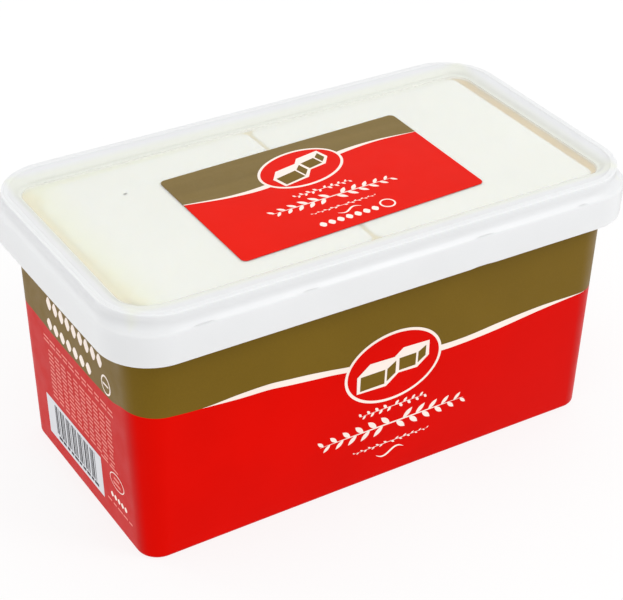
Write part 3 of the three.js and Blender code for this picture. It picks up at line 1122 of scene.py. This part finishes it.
def left_marks(drawing, inks):
    """Marks of the left end: two broad rows, rows of fine bars, a pale panel of upright bars, an oval."""

    def lozenges(x, y, count, spacing, width):
        leaf_row(drawing, inks["cream"], x * MM, y * MM, count, spacing * MM, spacing * 0.8 * MM, width * MM)

    def fine_rows(x, y, columns, rows, pitch, seed, ink_name="faint", tall=0.6, layer=0.5):
        drawing.marks(ink_name, drawn("Bar rows", {
            "Columns": columns, "Rows": rows, "Pitch X": pitch * MM, "Pitch Y": 1.5 * MM,
            "Bar Height": tall * MM, "Shortest": 0.55, "Longest": 0.92, "Seed": seed,
            "Thickness": drawing.step, "Material": inks[ink_name]}), x * MM, y * MM, layer)

    # Places and sizes in millimetres, from the middle of the end and from the base
    lozenges(2.2, 59.4, 9, 4.2, 4.6)
    lozenges(-2.6, 51.6, 7, 4.4, 4.0)
    drawing.oval("cream", (22 * MM, 52.8 * MM), (2.9 * MM, 3.3 * MM), 1, steps=48)
    drawing.oval("gold", (22 * MM, 52.8 * MM), (2.3 * MM, 2.7 * MM), 2, steps=48)
    drawing.bar("cream", 20.2 * MM, 52.6 * MM, 3.6 * MM, 0.6 * MM, 3)
    fine_rows(1.5, 44, 11, 2, 4.3, 3)
    fine_rows(1.5, 32, 10, 12, 4.3, 11)
    fine_rows(18.5, 22.6, 2, 1, 6, 5)
    drawing.bar("paper", -25.6 * MM, 6.1 * MM, 38 * MM, 14.8 * MM, 1)
    left, widths = -19.8 * MM, (0.5, 0.9, 0.35, 1.1, 0.5, 0.7, 0.35)
    for i in range(24):
        width = widths[i % len(widths)] * 0.8 * MM
        drawing.bar("ink", left, 9 * MM, width, 10.6 * MM, 2)
        left += width + widths[(i * 3 + 2) % len(widths)] * 1.1 * MM
    fine_rows(-5, 7.9, 10, 1, 2.8, 7, "ink", 0.9, 2.5)
    drawing.oval("cream", (22.8 * MM, 18.5 * MM), (4.6 * MM, 2.9 * MM), 1, steps=48)
    drawing.oval("red", (22.8 * MM, 18.5 * MM), (4.25 * MM, 2.55 * MM), 2, steps=48)
    for height, length in ((19.1, 3.4), (17.3, 4.6)):
        drawing.bar("faint", (22.8 - length / 2) * MM, height * MM, length * MM, 0.8 * MM, 3)
    lozenges(22.9, 11.6, 5, 2.2, 1.9)
    fine_rows(23.2, 8.4, 5, 1, 3.4, 9)


def ornament(drawing, cream, x, y, size):
    """A small leafy row, a broad leafy sprig, a fine row, and a flourish under them."""
    unit = size * MM
    for row_x, row_y, count, spacing, length, width, lean, taper in (
            (-0.4, 6.4, 16, 1.5, 1.9, 1.0, 50, 0.2), (0, 0, 22, 2.35, 4.6, 1.7, 44, 0.35),
            (-0.2, -7.2, 19, 1.45, 1.5, 0.6, 30, 0.4)):
        leaf_row(drawing, cream, x + row_x * unit, y + row_y * unit, count, spacing * unit, length * unit,
                 width * unit, 0.5, lean, taper)
        reach = count * spacing / 2
        stem = [(x + (row_x + lerp(-reach, reach, i / 40)) * unit, y + row_y * unit) for i in range(41)]
        drawing.stroke("cream", stem, length * 0.11 * unit, 1)
    curl = []
    for i in range(41):
        share = i / 40
        curl.append((x + lerp(-5.4, 4.6, share) * unit,
                     y + (-11 + 1.1 * math.sin(share * math.pi * 2 + math.pi)) * unit))
    drawing.stroke("cream", curl, 0.75 * unit, 1)


class CHEESETUB_OT_lid_frame(bpy.types.Operator):
    """Makes the lid's milky frame: skirt, shoulder, stacking rim and the step down to the panel"""
    bl_idname = "cheesetub.lid_frame"
    bl_label = "Lid frame"

    def execute(self, context):
        lid = sizes("lid")

        def outer(inset, radius, height, rounding):
            return inset, inset, radius, height, rounding

        def panel(extra, height, rounding):
            lean = lid.end_lean * min(max((height - lid.panel_top) / lid.step, 0), 1)
            return (lid.end_inset - lean - extra, lid.side_inset - extra, lid.panel_radius + extra, height,
                    rounding)

        def foot(end, side, height):
            """A ring of the step's foot, moved in by so many millimetres."""
            end_foot = lid.end_foot + end * MM
            return (lid.end_inset + end_foot, lid.side_inset + lid.side_foot + side * MM,
                    lid.panel_radius - end_foot, height, 0.08 * MM)

        def crest(inward, down, rounding):
            """A ring of the stacking rim's top, all in millimetres from its outer face and highest line."""
            return outer(rim + inward * MM, lid.rim_radius - inward * MM, top - down * MM, rounding * MM)

        bottom, top = LID_LOW.z, LID_HIGH.z
        under = lid.panel_top - lid.sheet
        rim_low = lid.panel_top + lid.step
        skirt, rim, bulge = lid.skirt, lid.rim_inset, lid.bulge
        rings = eased([
            panel(lid.plug_wall, under, 0.15 * MM),
            panel(lid.plug_wall, rim_low - lid.sheet, 0.3 * MM),
            outer(rim + skirt, lid.rim_radius - skirt, top - lid.sheet, 0.5 * MM),
            outer(rim + skirt + 0.3 * MM, lid.rim_radius - skirt, lid.rim_shoulder - 0.6 * MM, 0.6 * MM),
            outer(skirt + 0.25 * MM, lid.skirt_radius - skirt, lid.skirt_top + 0.3 * MM, 0.6 * MM),
            outer(skirt, lid.skirt_radius - skirt, bottom, 0.3 * MM),
            outer(0, lid.skirt_radius, bottom, 0.42 * MM),
            outer(-bulge, lid.skirt_radius + bulge, lid.skirt_top + MM, 0.5 * MM),
            outer(rim + 0.4 * MM, lid.rim_radius - 0.4 * MM, lid.rim_shoulder, 1.3 * MM),
            crest(0, 0.3, 0.4), crest(0.5, 0.22, 0.15), crest(0.75, 0.22 + lid.groove / MM, 0.15),
            crest(1.0, 0.12, 0.15), crest(2.0, 0, 0.25), crest(2.3, 0.4, 0.25),
            panel(0.4 * MM, rim_low, 0.8 * MM),
            panel(0, lid.panel_top + 0.35 * MM, 0.3 * MM),
            foot(0, 0, lid.panel_top), foot(0.2, 0.6, lid.panel_top - 0.7 * MM), foot(0.2, 0.6, under),
        ])
        plastic = material("Milky lid plastic", milky_plastic, lid.tint, lid.glow)
        piece = loft("lid_frame", rings, plastic, 16, 48)
        draw_in_corner(piece, under - 0.02 * MM)
        for vert in piece.data.vertices:
            share = (vert.co.x - KINK_START) / KINK_LENGTH
            up = (vert.co.z - bottom) / KINK_FADE
            if 0 < share < 1 and vert.co.y < 0 and up < 1:
                vert.co.z += KINK_RISE * math.sin(math.pi * share) ** 2 * (1 - up)
        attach(piece, "root")
        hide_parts("lid")

        shaper = bmesh.new()
        for left, right in BEADS:
            place = Vector(((left + right) / 2 * MM, -HALF_WIDTH + 0.1 * MM, lid.skirt_top + 1.3 * MM))
            half = Vector(((right - left) / 2 * MM, lid.bead, lid.bead * 0.8))
            bmesh.ops.create_uvsphere(shaper, u_segments=32, v_segments=12, radius=1, matrix=(
                Matrix.Translation(place) @ Matrix.Diagonal(half).to_4x4()))
        beads = object_from("shoulder_beads", smooth_mesh(shaper, plastic))
        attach(beads, "root")
        return {"FINISHED"}


def smooth_mesh(shaper, finish):
    """A smooth mesh of one material from a BMesh, which is freed."""
    mesh = bpy.data.meshes.new("Shaped")
    shaper.to_mesh(mesh)
    shaper.free()
    mesh.polygons.foreach_set("use_smooth", [True] * len(mesh.polygons))
    mesh.materials.append(finish)
    return mesh


def draw_in_corner(piece, above):
    """Draws in the step and the panel at their front left corner, which is rounder than the other three."""
    lid = sizes("lid")
    more = lid.full_corner - lid.panel_radius
    corner = Vector((lid.end_inset - HALF_LENGTH, lid.side_inset - HALF_WIDTH))
    centre = corner + Vector((1, 1)) * lid.panel_radius
    for vert in piece.data.vertices:
        away = vert.co.xy - centre
        if vert.co.z < above or max(away) > more:
            continue
        past = (away.length if max(away) < 0 else -min(away)) - lid.panel_radius
        arm = away - Vector((more, more))
        pull = 1 - min((lid.full_corner + past) / arm.length, 1)
        vert.co.xy -= arm * pull * min(max(CORNER_FADE - past / MM, 0), 1)


def panel_edge(height):
    """The ring where the clear panel, or the brine under it, ends inside the frame's step."""
    lid = sizes("lid")
    reach = 0.25 * MM
    return (lid.end_inset + lid.end_foot - reach, lid.side_inset + lid.side_foot - reach,
            lid.panel_radius - lid.end_foot + reach, height)


class CHEESETUB_OT_lid_panel(bpy.types.Operator):
    """Makes the lid's clear panel, which reaches a little into the frame's step"""
    bl_idname = "cheesetub.lid_panel"
    bl_label = "Clear panel"

    def execute(self, context):
        lid = sizes("lid")
        top, under = lid.panel_top, lid.panel_top - lid.film
        rings = [(HALF_WIDTH, HALF_WIDTH, 0, under), panel_edge(under), panel_edge(top),
                 (HALF_WIDTH, HALF_WIDTH, 0, top)]
        piece = loft("lid_panel", rings, material("Clear lid plastic", clear_panel, lid.haze))
        draw_in_corner(piece, under - 0.02 * MM)
        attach(piece, "root")
        return {"FINISHED"}


class CHEESETUB_OT_label(bpy.types.Operator):
    """Makes the label and its print, turned a little on the panel"""
    bl_idname = "cheesetub.label"
    bl_label = "Label"

    def execute(self, context):
        label = sizes("label")
        low = sizes("lid").panel_top
        high = low + label.thickness
        centre = ((LABEL_LOW + LABEL_HIGH) / 2).xy + Vector(label.shift)
        turn = Matrix.Rotation(label.turn, 3, "Z")
        half_x, half_y = label.length / 2, label.width / 2

        def flat(x, y, lift):
            return turn @ Vector((x, y, 0)) + Vector((*centre, high + lift))

        def stuck(x, y, lift):
            """Where a place on the label lies between its four corners on the lid."""
            across, up = (x / half_x + 1) / 2, (y / half_y + 1) / 2
            front = Vector(label.front_left).lerp(Vector(label.front_right), across)
            back = Vector(label.back_left).lerp(Vector(label.back_right), across)
            return front.lerp(back, up).to_3d() + Vector((0, 0, high + lift))

        # The seam between the label's colours and the pale line's lower edge, in millimetres from its middle
        line = ((-42, 10.0), (-28, 7.5), (-15.4, 7.65), (0, 11.2), (15, 13.9), (28, 14.0), (42, 12.05))
        lower = ((-42, 9.7), (-28, 6.5), (-15.4, 5.65), (0, 9.2), (15, 12.2), (28, 13.2), (42, 11.95))
        samples = list(plan_samples(8, 6))
        body, banded = [], []
        edge = 0.05 * MM
        for inset, height in ((edge, low), (0, low + edge), (0, high - edge), (edge, high)):
            for sample in samples:
                point = plan_point(half_x - inset, half_y - inset, label.radius - inset, sample, 0)
                body.append(stuck(point.x, point.y, height - high))
                banded.append(point.y > smooth_curve(line, point.x / MM) * MM)
        count = len(samples)
        faces = loft_faces(count, 4)
        faces.append(tuple(reversed(range(count))))
        faces.append(tuple(range(3 * count, 4 * count)))
        piece = object_from("label_film", mesh_from("label_film", body, faces, smooth=False))
        piece.data.materials.append(ink("label_red"))
        piece.data.materials.append(ink("label_gold"))
        for face in piece.data.polygons:
            face.material_index = int(len(face.vertices) == 4 and banded[face.vertices[0]])
        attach(piece, "root")
        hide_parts("lid_label")

        drawing = Print(stuck, sizes("tub").print_lift)
        xs = [-half_x * math.cos(math.pi * i / 120) for i in range(121)]
        seam = [(x, smooth_curve(line, x / MM) * MM) for x in xs]
        top = []
        for x in xs:
            corner = max(abs(x) - (half_x - label.radius), 0)
            top.append((x, half_y - label.radius + (label.radius ** 2 - corner ** 2) ** 0.5))
        drawing.ribbon("label_gold", seam, top, 0.5)
        drawing.ribbon("cream", [(x, smooth_curve(lower, x / MM) * MM) for x in xs], seam, 1)
        drawing.place = flat
        badge(drawing, label.badge_centre, label.badge_half, label.ring, label.badge_turn, "label_red")
        ornament(drawing, ink("cream"), -1 * MM, -8.2 * MM, 0.82)
        leaf_row(drawing, ink("cream"), -3.6 * MM, -20.6 * MM, 7, 3 * MM, 2.3 * MM, 2.6 * MM)
        drawing.oval("cream", (10.2 * MM, -20 * MM), (2.5 * MM, 2.4 * MM), 1, steps=40)
        drawing.oval("label_red", (10.2 * MM, -20 * MM), (1.95 * MM, 1.85 * MM), 2, steps=40)
        inks = {name: ink(name) for name in ("cream", "label_red", "label_gold", "gold")}
        for piece in drawing.objects("label_print", inks):
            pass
        return {"FINISHED"}


class CHEESETUB_OT_cheese(bpy.types.Operator):
    """Makes the two blocks of white cheese"""
    bl_idname = "cheesetub.cheese"
    bl_label = "Cheese blocks"

    def execute(self, context):
        look = sizes("cheese")
        finish = material("White cheese", cheese_material, look)
        spread, rise = Vector((look.spread, 0, 0)), Vector((0, 0, look.rise))
        for node, low, high, worn_corner, skew, shift in (
                ("cheese_block_left", LEFT_LOW, LEFT_HIGH + spread, look.worn_corner, look.skew, 0),
                ("cheese_block_right", RIGHT_LOW - spread, RIGHT_HIGH, look.corner, 0, 5)):
            piece = grown(node + "_cut", "Cheese block", {
                "Low": low, "High": high + rise, "Spacing": look.spacing, "Edge": look.edge,
                "Corner": look.corner, "Worn Corner": worn_corner, "Relief": look.relief,
                "Seed": float(look.seed + shift), "Material": finish})
            for vert in piece.data.vertices:
                share = (high.x - vert.co.x) / (high.x - low.x) * max(vert.co.y, 0) / high.y
                vert.co.y -= skew * share
            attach(piece, "root")
            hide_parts(node)
        return {"FINISHED"}


class CHEESETUB_OT_brine(bpy.types.Operator):
    """Makes the brine that stands in the gaps round the blocks"""
    bl_idname = "cheesetub.brine"
    bl_label = "Brine"

    def execute(self, context):
        look, tub, lid = sizes("cheese"), sizes("tub"), sizes("lid")
        reach = 0.2 * MM

        def ring(height, inset=0.0):
            half_x, half_y, radius = wall_plan(height)
            back = tub.wall - reach + inset
            return HALF_LENGTH - half_x + back, HALF_WIDTH - half_y + back, radius - back, height

        low, high = tub.floor + 0.1 * MM, look.brine_level
        brim = lid.panel_top - lid.sheet - 0.05 * MM
        rings = [(HALF_WIDTH, HALF_WIDTH, 0, low), ring(low, tub.base_edge), ring(low + tub.base_edge),
                 ring(brim), panel_edge(brim), panel_edge(high), (HALF_WIDTH, HALF_WIDTH, 0, high)]
        piece = loft("brine", rings, material("Cloudy brine", brine_material, look))
        draw_in_corner(piece, high - 0.02 * MM)
        for vert in piece.data.vertices:
            vert.co = askew(vert.co)
        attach(piece, "root")
        return {"FINISHED"}


class CHEESETUB_OT_speck(bpy.types.Operator):
    """Makes the small dark speck on the left block"""
    bl_idname = "cheesetub.speck"
    bl_label = "Speck"

    def execute(self, context):
        place, half = Vector((-52.3, 20.7, 84.79)) * MM, Vector((0.66, 0.38, 0.055)) * MM
        turn, unevenness = 0.5, 0.25
        shaper = bmesh.new()
        bmesh.ops.create_icosphere(shaper, subdivisions=3, radius=1)
        for vert in shaper.verts:
            wobble = 1 + unevenness * math.sin(4 * vert.co.x + 3 * vert.co.y)
            vert.co = Vector((vert.co.x * half.x, vert.co.y * half.y * wobble, vert.co.z * half.z))
        shaper.transform(Matrix.Translation(place) @ Matrix.Rotation(turn, 4, "Z"))
        finish = material("Speck", printed_ink, paint(24, 22, 16), 0.3, roughness=0.7)
        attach(object_from("speck", smooth_mesh(shaper, finish)), "root")
        return {"FINISHED"}


class CHEESETUB_OT_stage(bpy.types.Operator):
    """Makes the camera, the even studio light and the plain pale floor"""
    bl_idname = "cheesetub.stage"
    bl_label = "Stage"

    def execute(self, context):
        setup = sizes("stage")
        scene = context.scene
        azimuth, elevation = setup.azimuth, setup.elevation
        back = Vector((math.sin(azimuth) * math.cos(elevation), -math.cos(azimuth) * math.cos(elevation),
                       math.sin(elevation)))
        level = Vector((0, 0, 1)).cross(back).normalized()
        upright = back.cross(level)
        right = level * math.cos(setup.roll) + upright * math.sin(setup.roll)
        up = upright * math.cos(setup.roll) - level * math.sin(setup.roll)
        camera = bpy.data.objects.new("Camera", bpy.data.cameras.new("Camera"))
        scene.collection.objects.link(camera)
        camera.data.lens = setup.lens
        camera.data.clip_start = 0.01
        turn = Matrix((right, up, back)).transposed().to_4x4()
        camera.matrix_world = Matrix.Translation(Vector(setup.target) + back * setup.distance) @ turn
        scene.camera = camera
        scene.view_settings.view_transform = "Standard"

        world = scene.world or bpy.data.worlds.new("Studio")
        scene.world = world
        world.use_nodes = True
        background = world.node_tree.nodes["Background"]
        background.inputs["Color"].default_value = (1, 1, 1, 1)
        direction = world.node_tree.nodes.new("ShaderNodeTexCoord").outputs["Generated"]
        x, _, z = axes_of(world.node_tree, direction)
        side = ranged(world.node_tree, x, -1, 0, setup.sky * 0.99, setup.sky)
        height = ranged(world.node_tree, z, 0, 1, 1, 1.25)
        strength = calculate(world.node_tree, "MULTIPLY", side, height)
        world.node_tree.links.new(strength, background.inputs["Strength"])

        for name, place, size, power in LAMPS:
            lamp = bpy.data.lights.new(name, "AREA")
            lamp.shape = "SQUARE"
            lamp.size = size
            lamp.energy = power
            holder = bpy.data.objects.new(name, lamp)
            scene.collection.objects.link(holder)
            holder.location = place
            holder.rotation_euler = (Vector((0, 0, 0.05)) - Vector(place)).to_track_quat("-Z", "Y").to_euler()

        half = setup.floor_size / 2
        corners = [(x * half, y * half, 0) for x, y in ((-1, -1), (1, -1), (1, 1), (-1, 1))]
        floor = object_from("floor", mesh_from("floor", corners, [(0, 1, 2, 3)], smooth=False))
        paper, tree, shader, place = new_material("Lit pale floor")
        darker, lighter = (0.17,) * 3, (0.18,) * 3
        feed(tree, shader, {
            "Base Color": mixed(tree, cloudy(tree, place, 3, 3, 0, 1), darker, lighter), "Roughness": 0.8,
            "Emission Color": (1, 1, 1, 1), "Emission Strength": setup.floor_glow, "Specular IOR Level": 0.0})
        paper.cycles.emission_sampling = "NONE"
        floor.data.materials.append(paper)
        return {"FINISHED"}


class CHEESETUB_PT_panel(bpy.types.Panel):
    bl_label = "Cheese tub"
    bl_idname = "CHEESETUB_PT_panel"
    bl_space_type = "VIEW_3D"
    bl_region_type = "UI"
    bl_category = "Cheese tub"

    def draw(self, context):
        for operator in OPERATORS:
            self.layout.operator(operator.bl_idname)


OPERATORS = (
    CHEESETUB_OT_stage, CHEESETUB_OT_tub, CHEESETUB_OT_tub_print, CHEESETUB_OT_lid_frame,
    CHEESETUB_OT_lid_panel, CHEESETUB_OT_label, CHEESETUB_OT_cheese, CHEESETUB_OT_brine, CHEESETUB_OT_speck)
GROUPS = {"tub": TubSizes, "lid": LidSizes, "print": PrintLook, "label": LabelSizes, "cheese": CheeseLook,
          "stage": StageSetup}


def register():
    for name, group in GROUPS.items():
        bpy.utils.register_class(group)
        setattr(bpy.types.Scene, "cheese_tub_" + name, PointerProperty(type=group))
    for item in (*OPERATORS, CHEESETUB_PT_panel):
        bpy.utils.register_class(item)


def unregister():
    for item in reversed((*OPERATORS, CHEESETUB_PT_panel)):
        bpy.utils.unregister_class(item)
    for name, group in GROUPS.items():
        delattr(bpy.types.Scene, "cheese_tub_" + name)
        bpy.utils.unregister_class(group)


def main():
    register()
    for make_tree in (loft_tree, block_tree, leaf_tree, bar_tree):
        make_tree()
    for operator in OPERATORS:
        group, name = operator.bl_idname.split(".")
        getattr(getattr(bpy.ops, group), name)()


if __name__ == "__main__":
    main()
